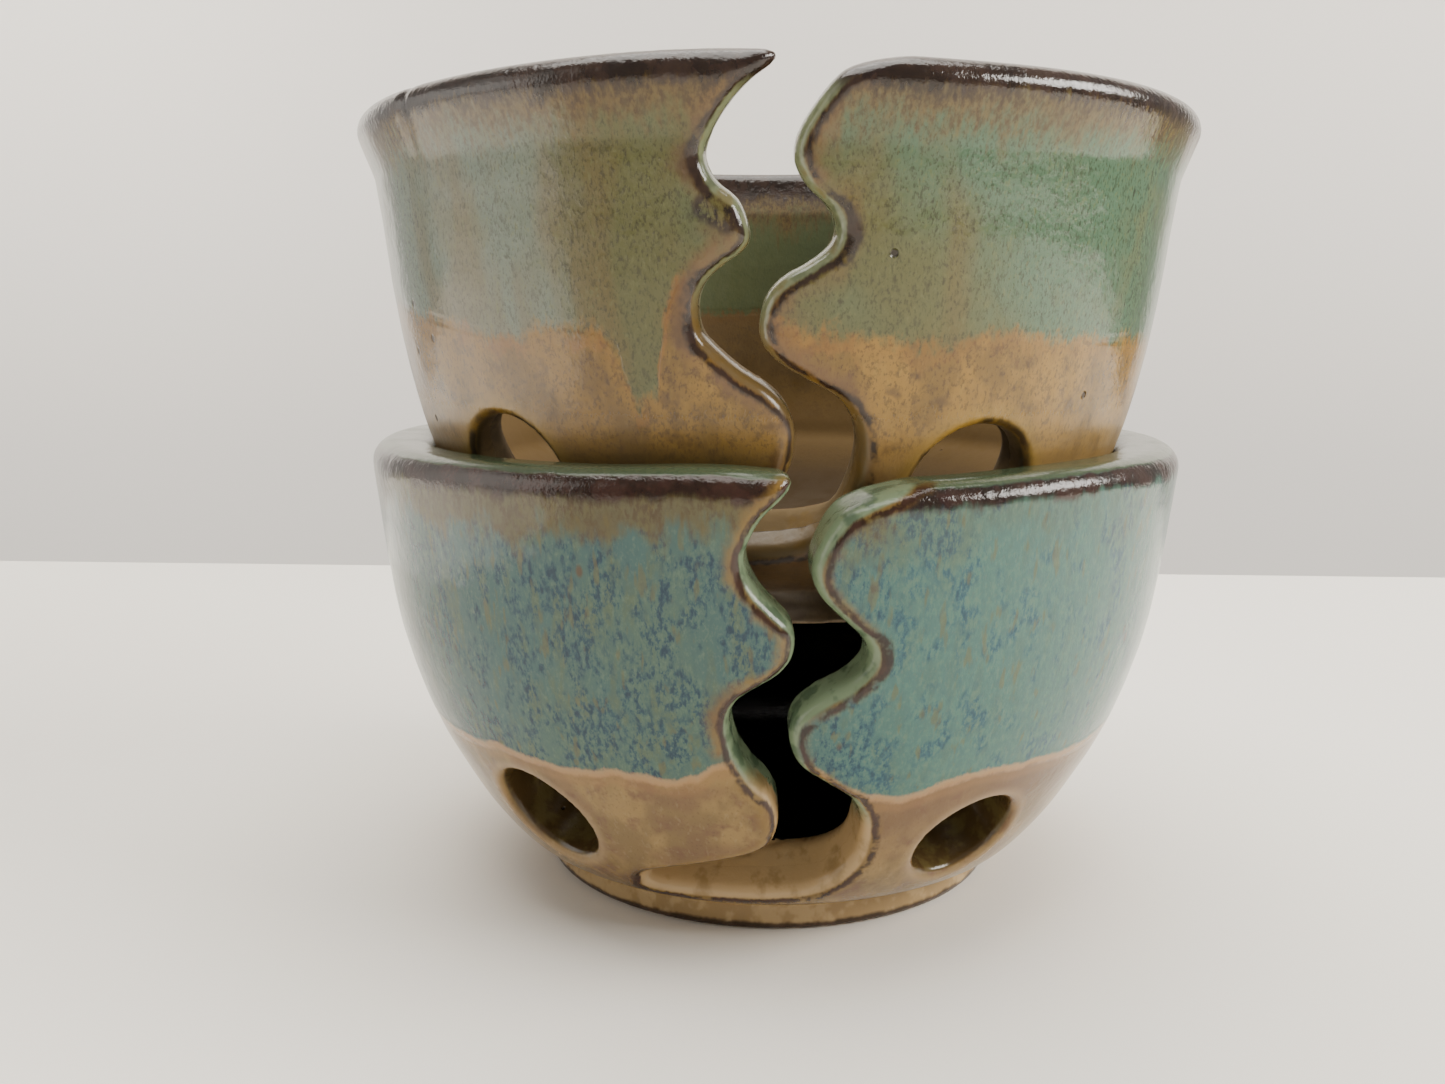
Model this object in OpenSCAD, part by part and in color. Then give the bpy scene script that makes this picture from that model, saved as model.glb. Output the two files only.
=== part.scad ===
// Nesting pair of wheel-thrown stoneware yarn bowls. Each bowl has a trimmed
// foot ring, a rounded rim, a winding yarn slot cut down its front wall to a
// hook end near the foot, and two round holes low in the front wall. The upper
// bowl stands in the lower one: its flank rests on the lower bowl's rim.
// +Z is up, the slots face -Y, and the origin is the centre of the lower foot.

/* [Pair] */
// Outside diameter over the rims
pair_d = 152; // [130:1:180]
// Height from the table to the upper rim, with the bowls nested
pair_h = 140; // [120:1:165]
// Running gap between the upper bowl's flank and the lower bowl's rim
seat_gap = 0.4; // [0.3:0.05:1]

/* [Walls] */
// Wall thickness of the upper bowl
upper_wall = 6.8; // [5.5:0.1:8]
// Wall thickness of the lower bowl, below its rim
lower_wall = 8.6; // [7:0.1:10]
// Extra thickness where a wall turns into the floor
corner_extra = 2.4; // [1:0.1:3.5]
// Radius of the lower bowl's rim edges
lower_lip_r = 4; // [3:0.1:5]

/* [Feet] */
// Height of each floor above the table side of its foot
floor_h = 10; // [9:0.5:13]
// Depth of the trimmed recess inside each foot ring
recess = 4; // [2:0.5:5]
// Width of the ring that each foot stands on
ring_w = 8; // [6:0.5:10]

/* [Yarn holes] */
// Diameter of the left hole in the lower bowl
lower_left_hole_d = 20; // [12:0.5:21]
// Diameter of the right hole in the lower bowl
lower_right_hole_d = 19; // [12:0.5:20]
// Diameter of the two holes in the upper bowl
upper_hole_d = 21; // [12:0.5:22]
// Bearing of the left holes, from the front
left_bearing = -39; // [-50:1:-36]
// Bearing of the right hole in the lower bowl, from the front
lower_right_bearing = 34; // [32:1:50]
// Bearing of the right hole in the upper bowl, from the front
upper_right_bearing = 29; // [27:1:50]
// Height of the lower bowl's left hole centre
lower_left_hole_z = 21; // [20:0.5:24]
// Height of the lower bowl's right hole centre
lower_right_hole_z = 19.5; // [19:0.5:24]
// Height of the upper bowl's left hole centre, nested
upper_left_hole_z = 79.5; // [79:0.5:84]
// Height of the upper bowl's right hole centre, nested
upper_right_hole_z = 79; // [78.5:0.5:84]

/* [Slots] */
// Tilt of the lower slot's hook end, square to the sloping wall
lower_tilt = 34; // [25:1:38]
// Tilt of the upper slot's hook end, square to the sloping wall
upper_tilt = 30; // [22:1:36]

/* [Hidden] */
kd = pair_d / 152;
kh = pair_h / 140;
round_fn = 120;
hole_fn = 48;

// Curves. A smooth line through a list of points, with n steps a span.
function cr(a, b, c, d, t) = 0.5 * ((2 * b) + (c - a) * t
    + (2 * a - 5 * b + 4 * c - d) * t * t + (3 * b - a - 3 * c + d) * t * t * t);
function smooth(p, n) = [for (i = [0:len(p) - 2], j = [0:n - 1])
    cr(p[max(i - 1, 0)], p[i], p[i + 1], p[min(i + 2, len(p) - 1)], j / n), p[len(p) - 1]];
function scaled(p) = [for (q = p) [q[0] * kd, q[1] * kh]];
function reversed(p) = [for (i = [len(p) - 1:-1:0]) p[i]];
function arc(c, r, a0, a1, n) = [for (i = [0:n]) let (a = a0 + (a1 - a0) * i / n)
    [c[0] + r * cos(a), c[1] + r * sin(a)]];
// Points of a line moved square to it, towards the bowl's inside, by t[i]
function inset(p, t) = [for (i = [0:len(p) - 1])
    let (d = p[min(i + 1, len(p) - 1)] - p[max(i - 1, 0)], u = d / norm(d))
    [p[i][0] - u[1] * t[i], p[i][1] + u[0] * t[i]]];

// Outer walls, [radius, height], from above the foot's crease to under the rim
lower_wall_pts = scaled([[45, 5.8], [50.8, 8], [57, 15.2], [61.8, 23], [65.8, 30.6],
    [69, 38.6], [72.2, 49.6], [74.1, 61], [75.4, 72]]);
upper_wall_pts = scaled([[45.6, 61.6], [51.4, 63.6], [57.4, 68.4], [61.2, 73.6], [63.6, 78.6],
    [66.6, 87.4], [69.3, 98.6], [71.2, 110], [72.6, 121.4], [73.7, 129.2]]);
lower_foot_pts = scaled([[44.6, 0.9], [44.3, 3], [44.5, 4.8]]);
upper_foot_pts = scaled([[45.4, 55.7], [44.9, 58], [45, 60.2]]);
lower_base_z = 0;
upper_base_z = 54.8 * kh;

// Rims
lower_top = 83.2 * kh;
seat_z = 80.6 * kh;
seat_r = 64.42 * kd + seat_gap * 1.06;
lower_out_r = 76.2 * kd;
upper_lip_r = upper_wall / 2 - 0.1;
upper_lip_c = [76.4 * kd - upper_lip_r, 140 * kh - upper_lip_r];

lower_t = [for (i = [0:len(lower_wall_pts) - 1]) lower_wall + (i < 2 ? corner_extra : i < 4 ? corner_extra * 0.6 : i < 6 ? 0.4 : 0)];
upper_t = [for (i = [0:len(upper_wall_pts) - 1]) upper_wall + (i < 3 ? corner_extra * 1.4 : i < 5 ? corner_extra * 0.6 : 0)];
lower_in = inset(lower_wall_pts, lower_t);
upper_in = inset(upper_wall_pts, upper_t);

// Closed wall sections, [radius, height]
lower_section = concat(
    [[0, recess], [43 * kd - ring_w - 1.5, recess], [43 * kd - ring_w, 0], [43.8 * kd, 0]],
    smooth(concat(lower_foot_pts, lower_wall_pts, [[lower_out_r, lower_top - lower_lip_r - 0.4]]), 2),
    arc([lower_out_r - lower_lip_r, lower_top - lower_lip_r], lower_lip_r, 12, 90, 4),
    arc([seat_r + lower_lip_r - 0.3, lower_top - lower_lip_r], lower_lip_r, 90, 180, 4),
    reversed(smooth(concat([[0, floor_h], [14 * kd, floor_h], [30 * kd, floor_h + 1], [40 * kd, floor_h + 4.6 * kh]],
        [for (i = [2:7]) lower_in[i]], [[seat_r - 0.3, 71 * kh]]), 2)));
upper_section = concat(
    [[0, upper_base_z + recess], [44 * kd - ring_w - 1.5, upper_base_z + recess],
        [44 * kd - ring_w, upper_base_z], [44.6 * kd, upper_base_z]],
    smooth(concat(upper_foot_pts, upper_wall_pts), 2),
    arc(upper_lip_c, upper_lip_r, -14, 166, 8),
    reversed(smooth(concat([[0, upper_base_z + floor_h], [14 * kd, upper_base_z + floor_h],
        [30 * kd, upper_base_z + floor_h + 0.8], [40 * kd, upper_base_z + floor_h + 3.6 * kh]],
        [for (i = [2:9]) upper_in[i]]), 2)));

// Slots, [across, height] on the outer wall: the edges run from the rim down,
// and the hooks run from the nose, round the closed end and back
lower_left = scaled([[8.5, 90], [4.2, 82.8], [0.6, 78.4], [-2.8, 74], [-3.9, 70.4], [-3, 67.6], [0.2, 64], [3.3, 61.2],
    [3.9, 59], [3.4, 55.7], [0.3, 52.5], [-3.4, 50], [-5.6, 47.2], [-6, 44.8], [-5.2, 40.2],
    [-2.6, 35.9], [0.5, 32.2], [1.8, 28], [1.8, 24]]);
lower_right = scaled([[28, 90], [20.5, 83], [13.6, 80.6], [9.8, 77.6], [7.5, 74], [6.2, 70.2], [6.4, 67.8],
    [9.2, 63.6], [12.8, 60.4], [15, 57.4], [14.3, 54], [10, 51.2], [5.6, 48], [3.2, 43.4],
    [4.6, 38.4], [8.2, 35.2], [13, 31.7], [15.3, 27], [15.7, 22]]);
lower_hook = scaled([[14.2, 31], [15.6, 26], [15.8, 21.5], [15, 17.4], [12.8, 13.6], [9.4, 11], [4.6, 9.4],
    [-2, 8.8], [-10, 8.6], [-17, 8.2], [-21.6, 8.4], [-23.4, 10], [-21.8, 12], [-17, 13.8], [-10, 15.8], [-4, 18],
    [-0.4, 20], [1.4, 22.4], [1.9, 26.6], [1, 31]]);
upper_left = scaled([[6, 146], [1.2, 140.2], [-3.1, 136.4], [-6.5, 133], [-9.2, 129.4], [-10, 126.4], [-8.6, 123.3],
    [-5.2, 120.8], [-3.5, 117.2], [-3.6, 114.8], [-6.3, 112.7], [-10, 109.6], [-11.1, 106],
    [-10.5, 102.2], [-8.2, 100.1], [-4.5, 97.1], [-0.5, 94.9], [2.4, 91.7], [3.8, 88], [3.2, 83.6], [2.6, 81]]);
upper_right = scaled([[30, 146], [17, 140], [12.4, 139.2], [8.9, 137.2], [5.7, 133.3], [3.4, 129.3], [2.9, 126],
    [4.4, 122.9], [7.5, 120.4], [9.1, 117], [8.4, 114.8], [5, 112.3], [1.3, 110.2], [-1, 107.4],
    [-2, 103.5], [-0.8, 99.6], [3, 97.2], [8.2, 94.5], [12, 91], [13.4, 86.4], [13, 81.6]]);
upper_hook = scaled([[12.8, 88.6], [13.4, 85], [13.3, 81.2], [12.5, 77], [10.4, 72.8], [6.6, 69.6], [0, 68.2],
    [-7, 68.2], [-13, 69], [-17.4, 70.4], [-18.8, 72.4], [-17, 74.6], [-12, 76], [-6, 77.4],
    [-1, 78.8], [2, 80.6], [3.4, 84], [3.8, 88.6]]);

function slot_outline(l, r) = concat(smooth(l, 3), reversed(smooth(r, 3)));
// Height of an outline point measured along a plane square to a tilted cut
function along(p, wall, tilt) = let (r = lookup(p[1], [for (q = wall) [q[1], q[0]]]),
    y = sqrt(r * r - p[0] * p[0])) [p[0], y * sin(tilt) + p[1] * cos(tilt)];

module wall_cut(outline) {
    translate([0, -20 * kd, 0]) rotate([90, 0, 0]) linear_extrude(height = 70 * kd) polygon(outline);
}

module hook_cut(outline, wall, tilt, start) {
    rotate([90 + tilt, 0, 0]) translate([0, 0, start])
        linear_extrude(height = 60 * kd) polygon([for (p = outline) along(p, wall, tilt)]);
}

// A hole square to the wall at bearing b and height z
module yarn_hole(wall, d, b, z) {
    table = [for (q = wall) [q[1], q[0]]];
    slope = atan((lookup(z + 3, table) - lookup(z - 3, table)) / 6);
    rotate([0, 0, b]) translate([0, -lookup(z, table), z]) rotate([90 + slope, 0, 0])
        translate([0, 0, -22]) cylinder(d = d, h = 40, $fn = hole_fn);
}

module lower_bowl() {
    color([0.38, 0.47, 0.43]) difference() {
        rotate_extrude($fn = round_fn) polygon(lower_section);
        wall_cut(slot_outline(lower_left, lower_right));
        hook_cut(smooth(lower_hook, 2), lower_wall_pts, lower_tilt, 8 * kd);
        yarn_hole(lower_wall_pts, lower_left_hole_d, left_bearing, lower_left_hole_z);
        yarn_hole(lower_wall_pts, lower_right_hole_d, lower_right_bearing, lower_right_hole_z);
    }
}

module upper_bowl() {
    color([0.52, 0.47, 0.36]) difference() {
        rotate_extrude($fn = round_fn) polygon(upper_section);
        wall_cut(slot_outline(upper_left, upper_right));
        hook_cut(smooth(upper_hook, 2), upper_wall_pts, upper_tilt, -25 * kd);
        yarn_hole(upper_wall_pts, upper_hole_d, left_bearing, upper_left_hole_z);
        yarn_hole(upper_wall_pts, upper_hole_d, upper_right_bearing, upper_right_hole_z);
    }
}

lower_bowl();
upper_bowl();
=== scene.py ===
import math

import bpy
import numpy as np
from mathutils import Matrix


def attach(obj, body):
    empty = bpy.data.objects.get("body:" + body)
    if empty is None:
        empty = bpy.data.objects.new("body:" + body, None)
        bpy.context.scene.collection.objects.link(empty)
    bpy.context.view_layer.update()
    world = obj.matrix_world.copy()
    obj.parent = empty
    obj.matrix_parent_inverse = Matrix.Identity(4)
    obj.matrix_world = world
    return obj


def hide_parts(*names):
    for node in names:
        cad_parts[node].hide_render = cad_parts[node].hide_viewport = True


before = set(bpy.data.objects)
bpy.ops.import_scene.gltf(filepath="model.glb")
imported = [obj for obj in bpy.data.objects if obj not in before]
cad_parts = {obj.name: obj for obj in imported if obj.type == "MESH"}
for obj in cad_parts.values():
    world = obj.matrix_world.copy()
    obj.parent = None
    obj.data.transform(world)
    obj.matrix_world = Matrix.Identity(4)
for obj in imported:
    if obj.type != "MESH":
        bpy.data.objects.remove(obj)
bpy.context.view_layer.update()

MM = 0.001

# ------------------------------------------------------------------ curves
def smooth(p, n):
    """A Catmull-Rom line through points, n steps a span."""
    p = np.asarray(p, float)
    out = []
    for i in range(len(p) - 1):
        a, b, c, d = p[max(i - 1, 0)], p[i], p[i + 1], p[min(i + 2, len(p) - 1)]
        for j in range(n):
            t = j / n
            out.append(0.5 * (2 * b + (c - a) * t + (2 * a - 5 * b + 4 * c - d) * t * t
                              + (3 * b - a - 3 * c + d) * t ** 3))
    out.append(p[-1])
    return np.array(out)


def arc(c, r, a0, a1, n):
    a = np.radians(np.linspace(a0, a1, n + 1))
    return np.stack([c[0] + r * np.cos(a), c[1] + r * np.sin(a)], 1)


def inset(p, t):
    p = np.asarray(p, float)
    d = np.array([p[min(i + 1, len(p) - 1)] - p[max(i - 1, 0)] for i in range(len(p))])
    u = d / np.linalg.norm(d, axis=1)[:, None]
    return p + np.stack([-u[:, 1], u[:, 0]], 1) * np.asarray(t, float)[:, None]


def seg_field(grid, line, closed, block=16):
    """On a grid: distance to a polyline, its arc length at the nearest point (running on past
    both ends of an open line) and, for a closed one, whether the point is inside."""
    a = line if closed else line[:-1]
    b = np.roll(line, -1, 0) if closed else line[1:]
    keep = np.linalg.norm(b - a, axis=1) > 1e-9
    a, b = a[keep], b[keep]
    if not closed:
        a, b = a.copy(), b.copy()
        first, last = a[0] - b[0], b[-1] - a[-1]
        ln0, ln1 = np.linalg.norm(first), np.linalg.norm(last)
        a = np.concatenate([[a[0] + first / ln0 * 60], a, [b[-1]]])
        b = np.concatenate([[a[1]], b, [b[-1] + last / ln1 * 60]])
    ab = b - a
    ln = np.linalg.norm(ab, axis=1)
    start = np.r_[0, np.cumsum(ln)[:-1]] - (0 if closed else 60)
    nx, ny = grid.n
    p = grid.pts.reshape(nx, ny, 2)
    dist, s = np.empty((nx, ny)), np.empty((nx, ny))
    half = block * grid.step * 0.75
    for i in range(0, nx, block):
        for j in range(0, ny, block):
            q = p[i:i + block, j:j + block].reshape(-1, 2)
            c = (q[0] + q[-1]) / 2
            t = np.clip(((c - a) * ab).sum(1) / ln ** 2, 0, 1)
            d = np.linalg.norm(c - a - t[:, None] * ab, axis=1)
            near = np.flatnonzero(d <= d.min() + 2 * half)
            aa, bb, l2 = a[near], ab[near], ln[near]
            t = np.clip(((q[:, None] - aa) * bb).sum(-1) / l2 ** 2, 0, 1)
            w = q[:, None] - aa - t[..., None] * bb
            d = np.hypot(w[..., 0], w[..., 1])
            k = d.argmin(1)
            rows = np.arange(len(k))
            shape = p[i:i + block, j:j + block].shape[:2]
            dist[i:i + block, j:j + block] = d[rows, k].reshape(shape)
            s[i:i + block, j:j + block] = (start[near[k]] + t[rows, k] * l2[k]).reshape(shape)
    inside = np.zeros((nx, ny), bool)
    if closed:
        xs = p[:, 0, 0]
        for j in range(ny):
            y = p[0, j, 1]
            c = (a[:, 1] > y) != (b[:, 1] > y)
            x = np.sort(a[c, 0] + (y - a[c, 1]) / ab[c, 1] * ab[c, 0])
            inside[:, j] = (len(x) - np.searchsorted(x, xs)) % 2 == 1
    return dist, s, inside


def blur(g, sigma):
    """A Gaussian blur of a 2-D grid, sigma in cells."""
    n = int(math.ceil(sigma * 3))
    k = np.exp(-0.5 * (np.arange(-n, n + 1) / sigma) ** 2)
    k /= k.sum()
    for ax in (0, 1):
        g = np.moveaxis(g, ax, 0)
        e = np.concatenate([np.repeat(2 * g[:1], n, 0) - g[n:0:-1], g,
                            np.repeat(2 * g[-1:], n, 0) - g[-2:-n - 2:-1]], 0)
        g = sum(k[i] * e[i:i + g.shape[0]] for i in range(2 * n + 1))
        g = np.moveaxis(g, 0, ax)
    return g


class Grid:
    """A field on a regular 2-D grid, read by linear interpolation."""

    def __init__(self, lo, hi, step):
        self.lo, self.step = np.array(lo, float), step
        self.n = [int(math.ceil((hi[i] - lo[i]) / step)) + 1 for i in (0, 1)]
        ax = [self.lo[i] + step * np.arange(self.n[i]) for i in (0, 1)]
        self.pts = np.stack(np.meshgrid(*ax, indexing="ij"), -1).reshape(-1, 2)

    def read(self, g, u, v):
        x = np.clip((u - self.lo[0]) / self.step, 0, self.n[0] - 1.001)
        y = np.clip((v - self.lo[1]) / self.step, 0, self.n[1] - 1.001)
        i, j = x.astype(np.int32), y.astype(np.int32)
        x, y = x - i, y - j
        return ((g[i, j] * (1 - x) + g[i + 1, j] * x) * (1 - y)
                + (g[i, j + 1] * (1 - x) + g[i + 1, j + 1] * x) * y)


def bumps(theta, table):
    """A sum of soft bumps round the bowl: [bearing, height, width] each, angles in degrees."""
    out = np.zeros_like(theta)
    for b, h, width in table:
        d = (theta - math.radians(b) + math.pi) % (2 * math.pi) - math.pi
        out += h * np.exp(-0.5 * (d / math.radians(width)) ** 2)
    return out


# ------------------------------------------------------------------ one bowl's shape, in mm
class Bowl:
    def __init__(self, name, section, wall, slot, holes, round_slot, round_hole, warp, z0, z1):
        self.name, self.holes, self.warp = name, holes, warp
        self.round_slot, self.round_hole, self.z0, self.z1 = round_slot, round_hole, z0, z1
        self.g = Grid((-6, z0 - 5), (84, z1 + 6), 0.2)
        closed = np.concatenate([section, section[::-1] * [-1, 1]])
        d, _, inside = seg_field(self.g, closed, True)
        self.sdf = blur(np.where(inside, -d, d), 1.6)
        # arc length along the section, from the rim's top: outside +, inside -
        _, along, _ = seg_field(self.g, section, False)
        top = section[:, 1].argmax()
        self.rim = np.linalg.norm(np.diff(section[:top + 1], axis=0), axis=1).sum() - along
        wall = smooth(wall, 8)
        self.wall_len = np.r_[0, np.cumsum(np.linalg.norm(np.diff(wall, axis=0), axis=1))]
        self.wall = wall
        _, self.s, _ = seg_field(self.g, wall, False)
        # the slot in surface coordinates: arc length round, arc length up
        slot = np.asarray(slot, float)
        s_at = self.s_of_z(slot[:, 1])
        r_at = np.interp(s_at, self.wall_len, wall[:, 0])
        flat = np.stack([r_at * np.arcsin(slot[:, 0] / r_at), s_at], 1)
        self.gs = Grid((-36, s_at.min() - 14), (36, s_at.max() + 2), 0.2)
        d, _, inside = seg_field(self.gs, flat, True)
        raw = np.where(inside, -d, d)
        self.slot = blur(raw, 1.6)
        self.bend = blur(raw, 14) - self.slot  # + in a bay of the clay, - on a nose
        gu, gv = np.gradient(blur(raw, 3), 0.2)
        self.faces = 0.7 * gu - 0.8 * gv  # + where the cut faces up or left, - down or right

    def s_of_z(self, z):
        """Arc length up the wall at a height, running on above the wall's last point."""
        top, bottom = self.wall[-1], self.wall[0]
        s = np.interp(z, self.wall[:, 1], self.wall_len)
        s = np.where(z > top[1], self.wall_len[-1] + (z - top[1]), s)
        return np.where(z < bottom[1], z - bottom[1], s)

    def parts(self, p):
        """At each point: distance into the wall section, to the slot and to the holes, the
        bearing and the arc length up the outer wall."""
        x, y, z = p.T
        theta = np.arctan2(x, -y)
        r = np.hypot(x, y)
        dr, dz = self.warp(theta, z)
        r2, z2 = r - dr, z - dz
        a = self.g.read(self.sdf, r2, z2)
        s = self.g.read(self.s, r2, z2)
        rw = np.interp(s, self.wall_len, self.wall[:, 0])
        front = np.abs(theta) < 0.5
        slot = np.where(front, self.gs.read(self.slot, np.clip(rw * theta, -36, 36), s), 30.0)
        slot = np.where(r < 18, 30.0, slot)
        hole = np.full(len(p), 60.0)
        for b, zc, tilt, dia in self.holes:
            b, tilt = math.radians(b), math.radians(tilt)
            n = np.array([math.sin(b) * math.cos(tilt), -math.cos(b) * math.cos(tilt), -math.sin(tilt)])
            rc = np.interp(self.s_of_z(np.array([zc]))[0], self.wall_len, self.wall[:, 0])
            c = np.array([rc * math.sin(b), -rc * math.cos(b), zc])
            q = p - c
            along = q @ n
            h = np.linalg.norm(q - along[:, None] * n, axis=1) - dia / 2
            hole = np.minimum(hole, np.where((along > -26) & (along < 24), h, 60.0))
        return a, slot, hole, theta, s

    def field(self, p):
        a, slot, hole, _, _ = self.parts(p)
        f = self.cut(a, -slot, self.round_slot)
        return self.cut(f, -hole, self.round_hole)

    @staticmethod
    def cut(a, b, r):
        u, v = np.maximum(a + r, 0), np.maximum(b + r, 0)
        return np.minimum(np.maximum(a, b), -r) + np.hypot(u, v)

    def normal(self, p, e=0.3):
        g = np.empty_like(p)
        for i in range(3):
            d = np.zeros(3); d[i] = e
            g[:, i] = self.field(p + d) - self.field(p - d)
        n = np.linalg.norm(g, axis=1)[:, None]
        return g / np.maximum(n, 1e-9), n[:, 0] / (2 * e)

    def mesh(self, step):
        """Surface nets on a grid, then every point moved onto the surface."""
        lo = np.array([-79.0, -79.0, self.z0 - 2.2])
        hi = np.array([79.0, 79.0, self.z1 + 3.2])
        n = np.ceil((hi - lo) / step).astype(int) + 1
        f = np.empty(n, np.float32)
        ys, zs = lo[1] + step * np.arange(n[1]), lo[2] + step * np.arange(n[2])
        yy, zz = [q.ravel() for q in np.meshgrid(ys, zs, indexing="ij")]
        for i in range(n[0]):
            f[i] = self.field(np.stack([np.full(yy.shape, lo[0] + step * i), yy, zz], 1)).reshape(n[1], n[2])
        inside = f < 0
        corner = [(i, j, k) for i in (0, 1) for j in (0, 1) for k in (0, 1)]
        count = sum(inside[i:n[0] - 1 + i, j:n[1] - 1 + j, k:n[2] - 1 + k].astype(np.int8) for i, j, k in corner)
        cell = np.argwhere((count > 0) & (count < 8))
        index = np.full(np.array(n) - 1, -1, np.int64)
        index[tuple(cell.T)] = np.arange(len(cell))
        total, hits = np.zeros((len(cell), 3)), np.zeros(len(cell))
        val = {c: f[tuple((cell + c).T)].astype(float) for c in corner}
        for c in corner:
            for ax in range(3):
                if c[ax] == 0:
                    d = list(c); d[ax] = 1; d = tuple(d)
                    va, vb = val[c], val[d]
                    cross = (va < 0) != (vb < 0)
                    t = np.where(cross, va / np.where(va == vb, 1, va - vb), 0)
                    pt = np.array(c, float) + t[:, None] * (np.array(d) - np.array(c))
                    total += pt * cross[:, None]
                    hits += cross
        v = lo + step * (cell + total / hits[:, None])
        faces = []
        for ax in range(3):
            o1, o2 = [(1, 2), (2, 0), (0, 1)][ax]
            sl0 = [slice(None)] * 3; sl0[ax] = slice(0, n[ax] - 1)
            sl1 = [slice(None)] * 3; sl1[ax] = slice(1, n[ax])
            a, b = inside[tuple(sl0)], inside[tuple(sl1)]
            e = np.argwhere(a != b)
            e = e[(e[:, o1] > 0) & (e[:, o2] > 0) & (e[:, o1] < n[o1] - 1) & (e[:, o2] < n[o2] - 1)]
            flip = a[tuple(e.T)]
            q = []
            for d1, d2 in ((-1, -1), (0, -1), (0, 0), (-1, 0)):
                c = e.copy(); c[:, o1] += d1; c[:, o2] += d2
                q.append(index[tuple(c.T)])
            q = np.stack(q, 1)
            q[~flip] = q[~flip][:, ::-1]
            faces.append(q)
        faces = np.concatenate(faces)
        for k in range(6):
            if k < 3:  # even out the net, in the surface, before it is put back on it
                v = self.relax(v, faces)
            g, size = self.normal(v)
            move = self.field(v) / np.maximum(size, 0.4)
            v = v - g * np.clip(move, -0.6, 0.6)[:, None]
        return v, faces

    @staticmethod
    def relax(v, faces):
        total, hits = np.zeros_like(v), np.zeros(len(v))
        for i in range(4):
            a, b = faces[:, i], faces[:, (i + 1) % 4]
            for ax in range(3):
                total[:, ax] += np.bincount(a, v[b, ax], len(v)) + np.bincount(b, v[a, ax], len(v))
            hits += np.bincount(a, minlength=len(v)) + np.bincount(b, minlength=len(v))
        return v * 0.4 + 0.6 * total / hits[:, None]


# ------------------------------------------------------------------ the two bowls' outlines, in mm
L_WALL = [[45, 5.8], [50.8, 8], [57, 15.2], [61.8, 23], [65.8, 30.6], [69, 38.6], [72.2, 49.6],
          [74.1, 61], [75.4, 72]]
U_WALL = [[45.6, 61.6], [51.4, 63.6], [57.4, 68.4], [61.2, 73.6], [63.6, 78.6], [66.6, 87.4],
          [69.3, 98.6], [71.2, 110], [72.6, 121.4], [73.7, 129.2]]
L_IN = inset(L_WALL, [11, 11, 10.04, 10.04, 9, 9, 8.6, 8.6, 8.6])
U_IN = inset(U_WALL, [10.16, 10.16, 10.16, 8.24, 8.24, 6.8, 6.8, 6.8, 6.8, 6.8])

L_SECTION = np.concatenate([
    [[0, 4]], arc((31.8, 4 - 2.2), 2.2, 90, 40, 6), arc((36.6, 1.4), 1.4, 215, 270, 6),
    arc((43.4, 1.2), 1.2, 270, 345, 8),
    smooth([[44.5, 2.6], [44.4, 3.9], [44.9, 5.4]] + L_WALL[1:] + [[76.15, 78.6]], 8),
    arc((72.2, 79.2), 4, 8, 90, 24), arc((68.5, 79.2), 4, 90, 176, 24),
    smooth([[0, 10], [14, 10], [30, 11], [40, 14.6]] + L_IN[2:8].tolist() + [[64.5, 71]], 8)[::-1]])
U_SECTION = np.concatenate([
    [[0, 58.8]], arc((32.8, 58.8 - 2.2), 2.2, 90, 40, 6), arc((37.4, 56.2), 1.4, 215, 270, 6),
    arc((44.1, 56.1), 1.3, 270, 345, 8),
    smooth([[45.3, 57.6], [45.0, 59.4], [45.5, 61.1]] + U_WALL[1:], 8),
    arc((73.1, 136.7), 3.3, -14, 166, 48),
    smooth([[0, 64.8], [14, 64.8], [30, 65.6], [40, 68.4]] + U_IN[2:].tolist(), 8)[::-1]])

L_SLOT = np.concatenate([
    smooth([[11, 93], [7.3, 86.6], [4.5, 82.6], [1.5, 79.2], [-1.5, 76], [-3.3, 72.6], [-3.9, 70.3], [-3.2, 68],
            [-1.2, 65.4], [1.2, 63.2], [3.2, 61.2], [3.9, 59], [3.5, 56], [1.6, 53.4], [-1.6, 51.2], [-4.4, 49.2],
            [-5.8, 46.8], [-6, 44], [-5, 40], [-2.6, 35.9], [0.4, 32.2], [1.7, 28.4], [1.7, 25],
            [0.6, 22], [-2, 20], [-5.9, 18.4], [-11, 16.6], [-16, 14.8], [-19.8, 12.8], [-21.4, 10.6],
            [-19.6, 9.2], [-15, 9.2], [-9, 9.6], [-3, 9.8], [3, 10.2], [8.2, 11.6], [12, 14.6], [14.4, 18.6],
            [15.3, 23], [15, 27.6], [13, 31.5]], 6),
    smooth([[12.9, 31.6], [8.4, 35], [4.8, 38], [3.2, 42.4], [4, 46.2], [7.4, 49.4], [12.2, 52.3], [15, 55.6],
            [14.4, 58.6], [11, 62], [7.6, 65.4], [6.2, 69], [7.2, 73], [9.9, 77.4], [14, 80.2], [19, 82.6],
            [25, 86.4], [33, 93]], 6)])
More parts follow.
